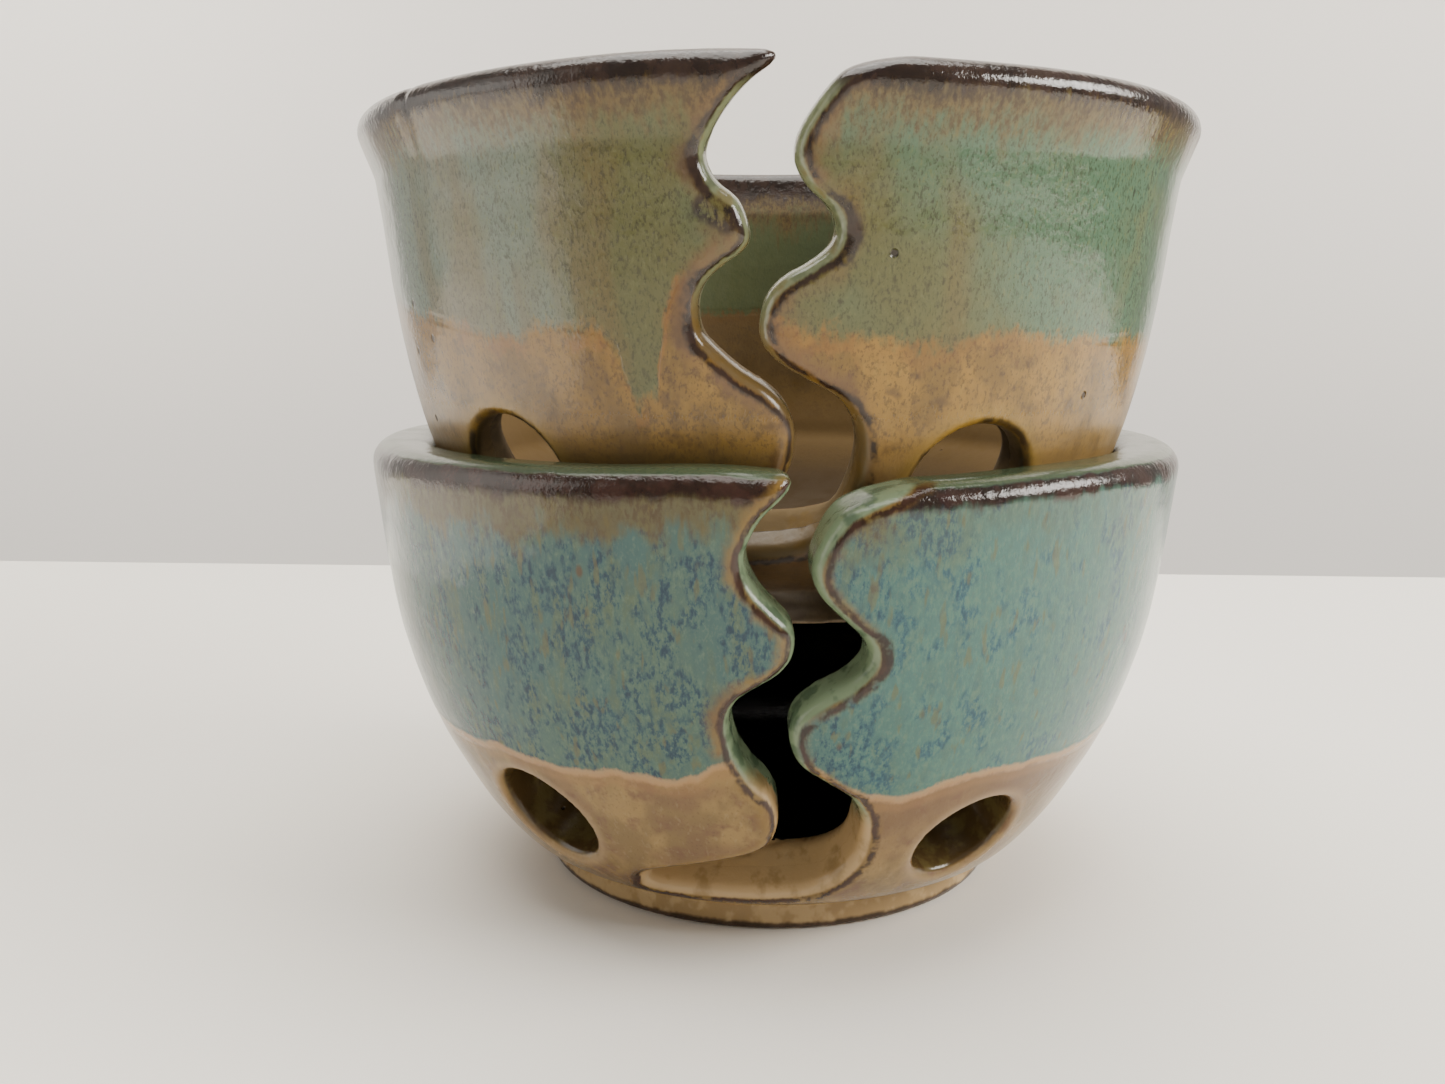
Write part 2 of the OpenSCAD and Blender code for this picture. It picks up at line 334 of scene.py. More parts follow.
U_SLOT = np.concatenate([
    smooth([[13, 148], [8, 143.2], [4.0, 140.4], [0.2, 138.3], [-3.3, 136], [-6.5, 132.9], [-9, 129.5], [-10, 126.4], [-8.5, 123.3],
            [-5.3, 120.9], [-3.8, 118], [-3.4, 115.6], [-4.5, 113.9], [-7.3, 112], [-10, 109.6], [-11.1, 106.6],
            [-10.6, 102.9], [-8.4, 100.4], [-4.7, 97.4], [-0.8, 95], [1.9, 92.4], [3.5, 89], [3.6, 86], [3, 83],
            [1.6, 80.6], [-2, 78.8], [-7, 77.4], [-12.6, 75.6], [-16.6, 73.6], [-17.8, 71.6], [-15.4, 69.8],
            [-9, 68.8], [-2, 68.6], [4, 69.6], [8.6, 72.2], [11.4, 76.4], [12.9, 81.4], [13.3, 86.2], [12.6, 89.6]], 6),
    smooth([[12.5, 89.8], [9.9, 93.3], [5.1, 96], [0.8, 98.6], [-1.6, 101.4], [-1.9, 104.4], [-0.9, 107.8],
            [1.6, 110.4], [5.2, 112.4], [8.2, 114.7], [9.1, 117], [7.8, 120], [4.7, 122.7], [2.9, 125.9],
            [3.3, 129.2], [5.6, 133.2], [8.9, 137.2], [12.6, 139.4], [18, 142], [28, 148]], 6)])


def warp_lower(theta, z):
    rise = np.clip((z - 40) / 43, 0, 1) ** 2
    dz = rise * bumps(theta, [[-5, 1.2, 9], [-25, 0.3, 13], [15, -0.9, 12], [150, 0.25, 20]])
    dr = 0.10 * np.sin(2 * theta + 0.7) + 0.05 * np.sin(3 * theta + 2.0)
    dr = dr * np.clip(z / 60, 0, 1) + 0.012 * np.sin(z * 0.95 + theta * 0.8) * np.clip((z - 10) / 20, 0, 1)
    return dr, dz


def warp_upper(theta, z):
    rise = np.clip((z - 95) / 45, 0, 1) ** 2
    dz = rise * bumps(theta, [[-5, 0.6, 13], [-25, 0.25, 13], [13, -0.3, 13], [160, 0.2, 20]])
    dr = 0.12 * np.sin(2 * theta + 2.1) + 0.06 * np.sin(3 * theta + 0.4)
    dr = dr * np.clip((z - 85) / 40, 0, 1) + 0.012 * np.sin(z * 0.82 + theta) * np.clip((z - 86) / 12, 0, 1)
    dr = dr + bumps(theta, [[-48.5, -0.45, 0.7]]) * np.clip((z - 129) / 6, 0, 1)
    return dr, dz


LOWER = Bowl("lower_bowl_glazed", L_SECTION, L_WALL, L_SLOT,
             [(-38.5, 21.2, 31, 20), (34, 19.4, 31, 19)], 2.7, 2.0, warp_lower, 0.0, 83.2)
UPPER = Bowl("upper_bowl_glazed", U_SECTION, U_WALL, U_SLOT,
             [(-40.0, 79.5, 20, 21), (28.9, 79, 20, 21)], 2.5, 2.0, warp_upper, 54.8, 140.0)


# ------------------------------------------------------------------ glaze maps on the points
# Height of the line where the two glazes meet, [bearing, height] round the outside
L_LINE = [[-180, 34.5], [-150, 33.2], [-122, 35.4], [-95, 33.4], [-70, 34.6], [-58, 33.4], [-46, 34.2], [-41, 35.1],
          [-33, 34.3], [-27, 34], [-21, 35.4], [-16, 35.4], [-13, 34.5], [-9, 35.7], [-7, 38.1], [0, 40], [6, 37.9],
          [10, 34.2], [13, 32.6], [18, 31.6], [22.5, 33.1], [29, 34.7], [39, 34.2], [52.5, 33.4], [75, 34.8],
          [100, 33.2], [128, 35.2], [156, 33.4], [180, 34.5]]
U_LINE = [[-180, 103], [-150, 101.2], [-125, 104.8], [-97, 102.6], [-80, 106], [-66, 107.6], [-48.5, 104.5],
          [-39, 102.6], [-33.5, 102.3], [-27, 104.2], [-21, 103.3], [-18.5, 100.5], [-18, 95.7], [-16.7, 91.9],
          [-14, 95], [-13.3, 100.1], [-12.3, 106.3], [-10.8, 110.3], [-5, 108], [1, 103.5], [7, 103.1],
          [14, 101.9], [21, 101.5], [29, 103.1], [38.5, 102.7], [48, 102], [65, 102.2], [90, 104],
          [112, 99.5], [121, 102.5], [150, 104.2], [180, 103]]


def make(bowl, line, inner, step, body, node, material):
    v, faces = bowl.mesh(step)
    me = bpy.data.meshes.new(bowl.name)
    me.vertices.add(len(v)); me.vertices.foreach_set("co", (v * MM).astype(np.float32).ravel())
    me.loops.add(faces.size); me.loops.foreach_set("vertex_index", faces.astype(np.int32).ravel())
    me.polygons.add(len(faces))
    me.polygons.foreach_set("loop_start", (np.arange(len(faces)) * 4).astype(np.int32))
    me.update(calc_edges=True)
    me.validate()
    me.polygons.foreach_set("use_smooth", np.ones(len(me.polygons), bool))
    n, _ = bowl.normal(v)
    a, slot, hole, theta, _ = bowl.parts(v)
    dr, dz = bowl.warp(theta, v[:, 2])
    rr, zz = np.hypot(v[:, 0], v[:, 1]) - dr, v[:, 2] - dz
    rim = bowl.g.read(bowl.rim, rr, zz)
    deg = np.degrees(theta)
    table = np.array(line, float)
    height = np.where(rim > 0, np.interp(deg, table[:, 0], table[:, 1]),
                      inner + 0.9 * np.sin(3 * theta + 1) + 0.6 * np.sin(7 * theta))
    front = (np.abs(theta) < 0.5) & (rr > 18)
    rw = np.interp(np.clip(bowl.g.read(bowl.s, rr, zz), 0, None), bowl.wall_len, bowl.wall[:, 0])
    bend = np.where(front, bowl.gs.read(bowl.bend, np.clip(rw * theta, -36, 36),
                                        bowl.g.read(bowl.s, rr, zz)), 0)
    faces_up = np.where(front, bowl.gs.read(bowl.faces, np.clip(rw * theta, -36, 36),
                                            bowl.g.read(bowl.s, rr, zz)), 0)
    maps = dict(faces=faces_up, east=np.sin(theta), rim=rim, line=v[:, 2] - height, edge=np.minimum(slot, 25) + a, ring=np.minimum(hole, 25) + a,
                bend=bend, low=v[:, 2] - bowl.z0)
    for key, val in maps.items():
        me.attributes.new(key, "FLOAT", "POINT").data.foreach_set("value", val.astype(np.float32))
    me.normals_split_custom_set_from_vertices(n.astype(np.float32))
    ob = bpy.data.objects.new(bowl.name, me)
    bpy.context.scene.collection.objects.link(ob)
    me.materials.append(material)
    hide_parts(node)
    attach(ob, body)
    return ob


# ------------------------------------------------------------------ shader graphs
def lin(r, g, b):
    """An 8-bit sRGB colour as linear RGBA."""
    return tuple((c / 255 / 12.92 if c <= 10 else ((c / 255 + 0.055) / 1.055) ** 2.4) for c in (r, g, b)) + (1.0,)


class Val:
    """A socket that can be used in sums."""

    def __init__(self, g, sock):
        self.g, self.sock = g, sock

    def __add__(self, o): return self.g.math("ADD", self, o)
    def __sub__(self, o): return self.g.math("SUBTRACT", self, o)
    def __mul__(self, o): return self.g.math("MULTIPLY", self, o)
    __radd__, __rmul__ = __add__, __mul__
    def __rsub__(self, o): return self.g.math("SUBTRACT", o, self)
    def abs(self): return self.g.math("ABSOLUTE", self)
    def step(self, lo, hi): return self.g.step(self, lo, hi)
    def bell(self, mid, half): return self.g.step((self - mid).abs(), half, half * 0.25)


class Graph:
    def __init__(self, name):
        self.mat = bpy.data.materials.new(name)
        self.mat.use_nodes = True
        self.t = self.mat.node_tree
        self.bsdf = self.t.nodes["Principled BSDF"]
        tc = self.t.nodes.new("ShaderNodeTexCoord")
        self.mm = self.vector("MULTIPLY", tc.outputs["Object"], (1000, 1000, 1000))

    def put(self, sock, v):
        if isinstance(v, Val):
            v = v.sock
        if isinstance(v, bpy.types.NodeSocket):
            self.t.links.new(v, sock)
        else:
            sock.default_value = v

    def math(self, op, a, b=0.0):
        n = self.t.nodes.new("ShaderNodeMath"); n.operation = op
        self.put(n.inputs[0], a); self.put(n.inputs[1], b)
        return Val(self, n.outputs[0])

    def vector(self, op, a, b=(0, 0, 0)):
        n = self.t.nodes.new("ShaderNodeVectorMath"); n.operation = op
        self.put(n.inputs[0], a); self.put(n.inputs[1], b)
        return n.outputs["Value"] if op in ("DISTANCE", "LENGTH") else n.outputs["Vector"]

    def step(self, x, lo, hi):
        """0 at lo, 1 at hi, smooth between; lo may be above hi."""
        n = self.t.nodes.new("ShaderNodeMapRange"); n.interpolation_type = "SMOOTHSTEP"
        self.put(n.inputs["Value"], x)
        n.inputs["From Min"].default_value, n.inputs["From Max"].default_value = min(lo, hi), max(lo, hi)
        n.inputs["To Min"].default_value, n.inputs["To Max"].default_value = (0, 1) if lo < hi else (1, 0)
        return Val(self, n.outputs["Result"])

    def attr(self, name):
        n = self.t.nodes.new("ShaderNodeAttribute"); n.attribute_name = name
        return Val(self, n.outputs["Fac"])

    def noise(self, size, detail=2.0, rough=0.5, shift=0.0):
        """Smooth noise, 0 to 1 about 0.5, with features of size (x, y, z) mm."""
        s = (size,) * 3 if isinstance(size, (int, float)) else size
        n = self.t.nodes.new("ShaderNodeTexNoise")
        v = self.vector("MULTIPLY", self.mm, tuple(1 / q for q in s))
        if shift:
            v = self.vector("ADD", v, (shift, shift * 0.7, shift * 1.3))
        self.put(n.inputs["Vector"], v)
        n.inputs["Scale"].default_value = 1.0
        n.inputs["Detail"].default_value = detail
        n.inputs["Roughness"].default_value = rough
        return Val(self, n.outputs["Fac"])

    def spots(self, size, share, radius, shift=0.0):
        """Scattered round spots: cells of size mm, a share of them filled, radius in cells."""
        s = (size,) * 3 if isinstance(size, (int, float)) else size
        n = self.t.nodes.new("ShaderNodeTexVoronoi")
        v = self.vector("MULTIPLY", self.mm, tuple(1 / q for q in s))
        if shift:
            v = self.vector("ADD", v, (shift, shift * 0.7, shift * 1.3))
        self.put(n.inputs["Vector"], v)
        n.inputs["Scale"].default_value = 1.0
        c = self.t.nodes.new("ShaderNodeSeparateColor")
        self.t.links.new(n.outputs["Color"], c.inputs["Color"])
        pick = self.step(Val(self, c.outputs[0]), 1 - share, 1 - share * 0.5)
        return pick * self.step(Val(self, n.outputs["Distance"]), radius, radius * 0.35)

    def mix(self, t, a, b):
        n = self.t.nodes.new("ShaderNodeMix"); n.data_type = "RGBA"
        self.put(n.inputs[0], t); self.put(n.inputs[6], a); self.put(n.inputs[7], b)
        return n.outputs[2]

    def near(self, p, r):
        """1 within r mm of a point."""
        return Val(self, self.vector("DISTANCE", self.mm, p)).step(r, r * 0.5)

    def finish(self, colour, rough, height):
        self.put(self.bsdf.inputs["Base Color"], colour)
        self.put(self.bsdf.inputs["Roughness"], rough)
        self.bsdf.inputs["IOR"].default_value = 1.52
        b = self.t.nodes.new("ShaderNodeBump")
        b.inputs["Strength"].default_value = 1.0
        b.inputs["Distance"].default_value = 0.001
        self.put(b.inputs["Height"], height)
        self.put(self.bsdf.inputs["Normal"], b.outputs["Normal"])
        return self.mat


PITS = [(-59.9, -37.8, 107.4), (-55.5, -42.4, 101.7), (-60.0, -35.0, 99.4), (-57.6, -33.6, 88.0),
        (16.8, -69.7, 114.1), (49.3, -46.9, 93.4), (31.5, 66.0, 112.0), (68.5, 18.0, 104.0)]


NAMES = ("rim", "line", "edge", "ring", "bend", "low", "faces", "east")


def upper_material():
    g = Graph("upper_glaze_moss")
    rim, line, edge, ring, bend, low, faces, east = [g.attr(k) for k in NAMES]
    streak = g.noise((1.0, 1.0, 6.0), 3, 0.6)
    grain = g.noise((0.42, 0.42, 0.8), 2, 0.6)
    broad = g.noise((24, 24, 30), 2, 0.5, 3.1)
    pool = g.noise((9, 9, 14), 3, 0.55, 7.7)
    blot = g.noise((4.2, 4.2, 4.8), 3, 0.6, 1.9)
    side = g.noise((11, 11, 40), 2, 0.5, 12.3)

    drift = east + (broad - 0.5) * 0.6
    green = g.mix(broad.step(0.46, 0.62) * 0.3, UC["moss"], UC["teal"])
    green = g.mix((drift + line * 0.012).step(0.30, 0.62) * 0.85, green, UC["teal"])
    green = g.mix(drift.step(-0.34, -0.64) * 0.85, green, UC["blue"])
    green = g.mix(side.step(0.50, 0.66) * (0.6 - 0.5 * east.step(0.3, 0.6)), green, UC["olive"])
    green = g.mix(pool.step(0.52, 0.72) * 0.4, green, UC["tan_green"])
    fleck = g.noise((0.8, 0.8, 1.5), 4, 0.7, 5.5)
    green = g.mix(fleck.step(0.52, 0.66) * 0.5, green, UC["speck"])
    green = g.mix(grain.step(0.53, 0.66) * 0.55, green, UC["speck"])
    green = g.mix(g.spots((2.3, 2.3, 3.0), 0.3, 0.14, 5.0) * 0.4, green, UC["speck"])
    green = g.mix(fleck.step(0.46, 0.32) * 0.45, green, UC["pale"])

    brown = g.mix(pool.step(0.40, 0.60), UC["brown"], UC["brown2"])
    brown = g.mix(blot.step(0.53, 0.70) * 0.7, brown, UC["purple"])
    brown = g.mix(grain.step(0.54, 0.66) * 0.6, brown, UC["brown_speck"])
    brown = g.mix(g.noise((1.7, 1.7, 2.0), 4, 0.7, 17.0).step(0.52, 0.66) * 0.6, brown, UC["brown_speck"])
    brown = g.mix(streak.step(0.54, 0.70) * 0.25, brown, UC["brown_pale"])
    brown = g.mix((low + (blot - 0.5) * 6).step(37, 24) * low.step(13, 23) * 0.85, brown, UC["brown_low"])
    # the low outside, which sits down in the lower bowl, is painted a darker brown: painted shade
    brown = g.mix(low.step(21, 13) * 0.75, brown, UC["low_dark"])
    brown = g.mix((east + (blot - 0.5) * 0.9).step(0.0, -0.45) * 0.3, brown, UC["purple"])

    cross = line + (blot - 0.5) * 7 + (streak - 0.5) * 3.5 + (fleck - 0.5) * 4.5
    col = g.mix(cross.step(-1.6, 1.4), brown, green)
    col = g.mix(cross.bell(-1.5, 2.2) * (0.32 - 0.18 * east.step(0.1, 0.4)) * pool.step(0.36, 0.56), col, UC["halo"])
    # inside the bowl both glazes are painted in darker copies of their colours: painted shade
    inner = rim.step(-3, -14)
    col = g.mix(inner * 0.8, col, g.mix(cross.step(-1.1, 1.1), UC["inner_brown"], UC["inner_green"]))

    # further down inside, toward the floor, darker still: painted shade
    col = g.mix(inner * low.step(24, 12) * 0.85, col, UC["inner_dark"])

    # beside the slot
    nose = bend.step(-0.5, -1.8)
    col = g.mix(nose * (edge - (blot - 0.5) * 6).step(8.0, 3.0) * 0.65, col, UC["nose"])
    mark = g.math("MAXIMUM", g.near((-9.4, -72.1, 120.0), 2.5),
                  g.math("MAXIMUM", g.near((-7.8, -72.3, 119.2), 2.6), g.near((-6.3, -72.4, 118.2), 2.4)))
    band = (edge - (blot - 0.5) * 4).step(4.8, 2.0) * edge.step(-0.8, 1.0) * (0.35 + 0.65 * pool.step(0.40, 0.56))
    col = g.mix(band * 0.75, col, UC["edge_ochre"])

    # the rim: bare-looking dark band, then ochre streaks running down
    r = g.math("MAXIMUM", rim, rim * -0.75)
    ochre = r - (streak - 0.5) * 13 - (pool - 0.5) * 9
    col = g.mix(ochre.step(14.5, 7.0) * 0.8, col, UC["ochre"])
    col = g.mix((r - (streak - 0.5) * 12 - (pool - 0.5) * 6).step(14.0, 6.0) * fleck.step(0.40, 0.60) * 0.75, col, UC["ochre_dark"])
    dark = (r - (streak - 0.5) * 6 - (pool - 0.5) * 4).step(8.2, 5.2)
    dark_col = g.mix(blot.step(0.42, 0.62), UC["rim"], UC["rim2"])
    col = g.mix(dark * 0.94, col, dark_col)

    # the slot and its cut faces
    wob = (streak - 0.5) * 1.6 + (blot - 0.5) * 1.6
    some = (blot + bend.abs() * 0.08).step(0.36, 0.50)
    seen = faces.step(-0.55, 0.35)
    cut = (edge - seen * 1.1).step(0.2, -0.7)
    face = g.mix(line.step(-6, 4), UC["cut_olive"], UC["cut_green"])
    face = g.mix(blot.step(0.48, 0.64) * 0.5 * line.step(-2, 4), face, UC["cut_dark"])
    face = g.mix(blot.step(0.50, 0.34) * 0.45, face, UC["brown2"])
    face = g.mix(nose * 0.7, face, UC["nose"])
    face = g.mix(rim.abs().step(9, 5), face, dark_col)
    col = g.mix(cut, col, face)
    bay = bend.step(0.12, 0.55) * (1 - seen) * (edge - (blot - 0.5) * 6).step(4.6, 2.0) * edge.step(-0.8, 0.6) * rim.step(0, 2)
    col = g.mix(bay * (0.3 + 0.7 * pool.step(0.36, 0.52)) * 0.75, col, UC["bay"])
    at = edge + wob - seen * 1.3
    lined = at.step(-0.7, 0.1) * (at - bend.step(0.15, 0.7) * 1.2).step(1.5, 0.5)
    col = g.mix(lined * some * rim.step(-1, 1) * 0.92, col, dark_col)

    col = g.mix(mark * (blot + fleck).step(0.82, 1.0) * 0.9, col, dark_col)

    # the round holes
    face = g.mix(blot.step(0.44, 0.62), UC["hole"], UC["hole2"])
    col = g.mix(ring.step(5.0, 1.6) * ring.step(0.2, 1.6) * 0.45, col, UC["brown_pale"])
    col = g.mix(ring.step(0.2, -0.8), col, face)
    lined = (ring + wob * 0.6).step(-0.5, 0.2) * (ring + wob * 0.6).step(1.8, 0.9)
    col = g.mix(lined * pool.step(0.38, 0.52) * 0.8, col, dark_col)

    # foot, its bare standing edge, and pinholes
    foot = low.step(7.4, 5.6) * rim.step(0, 1)
    col = g.mix(foot * 0.75, col, g.mix(blot.step(0.42, 0.60), UC["foot"], UC["foot2"]))
    bare = (low + (blot - 0.5) * 1.2).step(0.9, 0.4)
    col = g.mix(bare, col, g.mix(grain.step(0.5, 0.66) * 0.6, lin(*BARE), lin(*BARE2)))
    pit = None
    for q in PITS:
        d = g.near(q, 0.75)
        pit = d if pit is None else g.math("MAXIMUM", pit, d)
    pit = g.math("MAXIMUM", pit, g.spots((13, 13, 13), 0.10, 0.035, 9.0) * (1 - bare))
    col = g.mix(pit * 0.9, col, lin(38, 26, 20))

    rough = 0.09 + 0.08 * grain + 0.10 * pool.step(0.5, 0.7) + bare * 0.5 + pit * 0.3 + inner * 0.55 + low.step(44, 30) * 0.24
    height = (grain - 0.5) * 0.03 + (g.noise(3.2, 2, 0.5, 4.4) - 0.5) * 0.10 + (g.noise((12, 12, 2.4), 1, 0.4, 2.2) - 0.5) * 0.10 * line.step(-22, -34) - pit * 0.35 \
        - line.bell(0, 1.2) * 0.04 + dark * (g.noise(1.3, 3, 0.6, 14.0) - 0.5) * 0.14 + (g.noise(0.5, 2, 0.6, 6.0) - 0.5) * 0.22 * bare
    return g.finish(col, rough, height)


def lower_material():
    g = Graph("lower_glaze_blue")
    rim, line, edge, ring, bend, low, faces, east = [g.attr(k) for k in NAMES]
    streak = g.noise((0.9, 0.9, 5.0), 3, 0.6, 2.0)
    dash = g.noise((0.95, 0.95, 1.9), 5, 0.70, 8.0)
    tuft = g.noise((3.0, 3.0, 5.0), 2, 0.5, 21.0)
    grain = g.noise((0.42, 0.42, 0.8), 2, 0.6, 1.0)
    broad = g.noise((20, 20, 28), 2, 0.5, 5.1)
    pool = g.noise((7, 7, 13), 3, 0.55, 9.7)
    blot = g.noise((4.2, 4.2, 4.8), 3, 0.6, 3.9)
    runs = g.noise((2.6, 2.6, 13), 2, 0.5, 6.3)

    blue = g.mix(broad.step(0.42, 0.60), LC["teal"], LC["blue_green"])
    blue = g.mix((east + (broad - 0.5) * 0.4).step(0.05, 0.35) * 0.85, blue, LC["aqua"])
    blue = g.mix(runs.step(0.50, 0.66) * (0.6 - 0.4 * east.step(0.05, 0.3)), blue, LC["sage"])
    blue = g.mix(grain.step(0.46, 0.32) * 0.45, blue, LC["pale"])
    here = 0.08 + 0.92 * (pool * 0.5 + tuft * 0.5 - 0.05 * east.step(0.1, 0.5)).step(0.43, 0.55)
    blue = g.mix(dash.step(0.40, 0.54) * 0.35, blue, LC["blue_green"])
    blue = g.mix(dash.step(0.46, 0.56) * here * 0.9, blue, g.mix(east.step(0.05, 0.3), LC["dash"], LC["dash_pale"]))
    blue = g.mix(dash.step(0.54, 0.64) * here * (0.8 - 0.35 * east.step(0.05, 0.3)), blue, LC["dash_dark"])
    blue = g.mix(dash.step(0.44, 0.34) * 0.4, blue, LC["pale"])
    blue = g.mix(g.noise((1.7, 1.7, 7), 2, 0.5, 15.3).step(0.60, 0.70) * 0.5, blue, LC["ochre_run"])
    blue = g.mix(g.spots((5.5, 5.5, 9), 0.35, 0.15, 7.0) * 0.8, blue, LC["rust"])

    brown = g.mix(pool.step(0.40, 0.60), LC["brown"], LC["brown2"])
    brown = g.mix(blot.step(0.52, 0.68) * 0.75, brown, LC["purple"])
    brown = g.mix(g.noise((13, 13, 9), 2, 0.5, 4.6).step(0.50, 0.64) * 0.55, brown, LC["purple"])
    brown = g.mix(grain.step(0.55, 0.70) * 0.3, brown, LC["brown_speck"])
    brown = g.mix(streak.step(0.56, 0.70) * 0.25, brown, LC["brown_pale"])

    brown = g.mix(east.step(0.05, 0.35) * (line + (blot - 0.5) * 12).step(-17, -4) * 0.7, brown, LC["purple"])
    cross = line + (blot - 0.5) * 2.2 + (grain - 0.5) * 0.7
    outer = rim.step(0, 3)
    # the lower bowl's inside: a near-black navy and a dark brown, painted shade for the dim hollow of the bowl
    deep = g.mix(broad.step(0.4, 0.6), LC["inside"], LC["inside2"])
    col = g.mix(cross.step(-0.35, 0.35), brown, blue)
    col = g.mix(cross.bell(0.0, 1.1) * 0.8, col, LC["halo"])
    col = g.mix(cross.bell(-1.4, 1.8) * 0.35, col, LC["orange"])

    # the rim: a pale green top, a maroon band on its outer shoulder, ochre streaks below it
    ochre = rim - (streak - 0.5) * 7 - (pool - 0.5) * 22 - (blot - 0.5) * 8
    left = 1 - 0.8 * (east + (blot - 0.5) * 0.6 + (pool - 0.5) * 0.6).step(0.08, 0.34) * east.step(1.05, 0.9)
    col = g.mix(ochre.step(15.0, 8.5) * left * 0.75, col, LC["ochre"])
    col = g.mix((rim - (streak - 0.5) * 8 - (pool - 0.5) * 8).step(11.0, 6.0) * dash.step(0.42, 0.60) * left * 0.6,
                col, LC["ochre_dark"])
    top = g.mix(grain.step(0.45, 0.62) * 0.4, LC["rim_top"], LC["rim_top2"])
    col = g.mix((rim + (blot - 0.5) * 1.5).step(3.4, 2.6), col, top)
    band = (rim + (blot - 0.5) * 1.6).step(2.6, 3.3) * (rim - (streak - 0.5) * 1.5 - (pool - 0.5) * 4.0 - (blot - 0.5) * 3).step(7.2, 5.4)
    dark_col = g.mix(blot.step(0.44, 0.60), LC["maroon"], LC["maroon2"])
    col = g.mix(band * 0.93, col, dark_col)
    # from 11 mm down inside the rim the colour turns to these painted shade colours: fully low down, half mixed with
    # the blue glaze higher up
    col = g.mix(rim.step(-5.0, -11.0), col, g.mix(line.step(-3, 14), deep, g.mix(0.5, deep, blue)))

    # the slot and its cut faces
    wob = (streak - 0.5) * 1.6 + (blot - 0.5) * 1.8
    some = (blot + bend.abs() * 0.08).step(0.36, 0.50)
    seen = faces.step(-0.55, 0.35)
    nose = bend.step(-0.5, -1.8)
    side = (edge - (blot - 0.5) * 4).step(3.4, 1.4) * edge.step(-0.8, 1.0) * (0.3 + 0.7 * pool.step(0.38, 0.55)) * outer
    col = g.mix(side * 0.8, col, LC["edge_ochre"])
    # the olive of these cut faces is its own colour lightened by painted light, for the slot's recessed floor
    face = g.mix(line.step(-7, -1), LC["cut_olive"], LC["cut_green"])
    face = g.mix(blot.step(0.46, 0.62) * 0.6 * line.step(-4, 0), face, LC["cut_dark"])
    face = g.mix(blot.step(0.50, 0.34) * 0.45 * line.step(0, -4), face, LC["brown2"])
    face = g.mix(nose * 0.4, face, LC["nose"])
    col = g.mix((edge - seen * 1.1).step(0.2, -0.7), col, face)
    bay = bend.step(0.12, 0.55) * (1 - seen) * (edge - (blot - 0.5) * 5).step(4.6, 2.4) * edge.step(-0.8, 0.6) * outer
    col = g.mix(bay * (0.3 + 0.7 * line.step(30, 12)) * 0.65, col, LC["bay"])
    at = edge + wob - seen * 1.5
    lined = at.step(-0.7, 0.1) * (at - bend.step(0.15, 0.7) * 0.7).step(1.6, 0.6)
    col = g.mix(lined * some * outer * 0.92, col, dark_col)

    # the round holes
    face = g.mix(blot.step(0.46, 0.62), LC["hole"], LC["hole2"])
    col = g.mix(ring.step(3.6, 1.4) * ring.step(-0.2, 1.4) * 0.6, col, LC["hole_edge"])
    col = g.mix(ring.step(0.0, -1.0), col, face)

    # foot, its bare standing edge, and pinholes
    # the foot keeps its own clay colours, lightened as painted light from the floor's bounce
    foot = low.step(6.4, 4.8) * rim.step(0, 1)
    col = g.mix(foot * 0.8, col, g.mix(blot.step(0.44, 0.60), LC["foot"], LC["foot2"]))
    hem = (low + (blot - 0.5) * 1.4).step(1.9, 1.1)
    col = g.mix(hem * 0.9, col, dark_col)
    bare = (low + (grain - 0.5) * 0.4).step(0.35, 0.1)
    col = g.mix(bare, col, g.mix(grain.step(0.5, 0.66) * 0.6, lin(*BARE), lin(*BARE2)))
    pit = g.spots((12, 12, 12), 0.10, 0.035, 4.0) * (1 - bare)
    col = g.mix(pit * 0.9, col, lin(38, 26, 20))

    g.bsdf.inputs["Specular IOR Level"].default_value = 0.38
    rough = 0.08 + 0.08 * grain + 0.08 * pool.step(0.5, 0.7) + bare * 0.5 + pit * 0.3
    height = (grain - 0.5) * 0.03 + (g.noise(3.4, 2, 0.5, 4.4) - 0.5) * 0.10 + (dash - 0.5) * 0.03 - pit * 0.35 \
        + line.bell(0.2, 1.4) * 0.10 + band * ((g.noise(1.3, 3, 0.6, 14.0) - 0.5) * 0.14 - 0.04) + (g.noise(0.5, 2, 0.6, 6.0) - 0.5) * 0.22 * bare
    return g.finish(col, rough, height)


def paint(f, **colours):
    """Colours in 8-bit sRGB, made linear and multiplied by f."""
    return {k: tuple(a * b for a, b in zip(lin(*c), (*f, 1))) for k, c in colours.items()}


BARE, BARE2 = (196, 172, 142), (150, 124, 98)
# the inside colours in these tables are darkened copies of the glazes: painted shade
UC = {**paint((0.41, 0.37, 0.21), moss=(132, 138, 102), olive=(146, 126, 80), tan_green=(148, 142, 100),
              speck=(66, 66, 50), pale=(154, 168, 134), inner_green=(108, 128, 96)),
      **paint((0.46, 0.515, 0.39), teal=(106, 142, 128), blue=(136, 148, 148)),
      **paint((0.63, 0.58, 0.25), brown=(175, 138, 77), brown2=(140, 110, 62), purple=(96, 71, 54),
              brown_speck=(78, 57, 40), brown_pale=(190, 158, 100),
              halo=(182, 124, 70), inner_brown=(104, 82, 54), inner_dark=(66, 50, 34)),
      # the second of these, the dark low brown, is painted shade
      **paint((1, 1, 1), brown_low=(150, 121, 80), low_dark=(112, 90, 68)),
      **paint((0.5, 0.49, 0.42), ochre=(140, 108, 56), ochre_dark=(76, 52, 30), edge_ochre=(148, 108, 68)),
      **paint((0.46, 0.40, 0.38), rim=(46, 33, 30), rim2=(74, 58, 52)),
      **paint((0.62, 0.60, 0.52), cut_olive=(134, 112, 76), cut_green=(148, 158, 130), cut_dark=(76, 90, 68),
              nose=(120, 90, 62), bay=(84, 60, 44), hole=(98, 82, 60), hole2=(118, 100, 72), foot=(116, 98, 80), foot2=(136, 118, 94))}
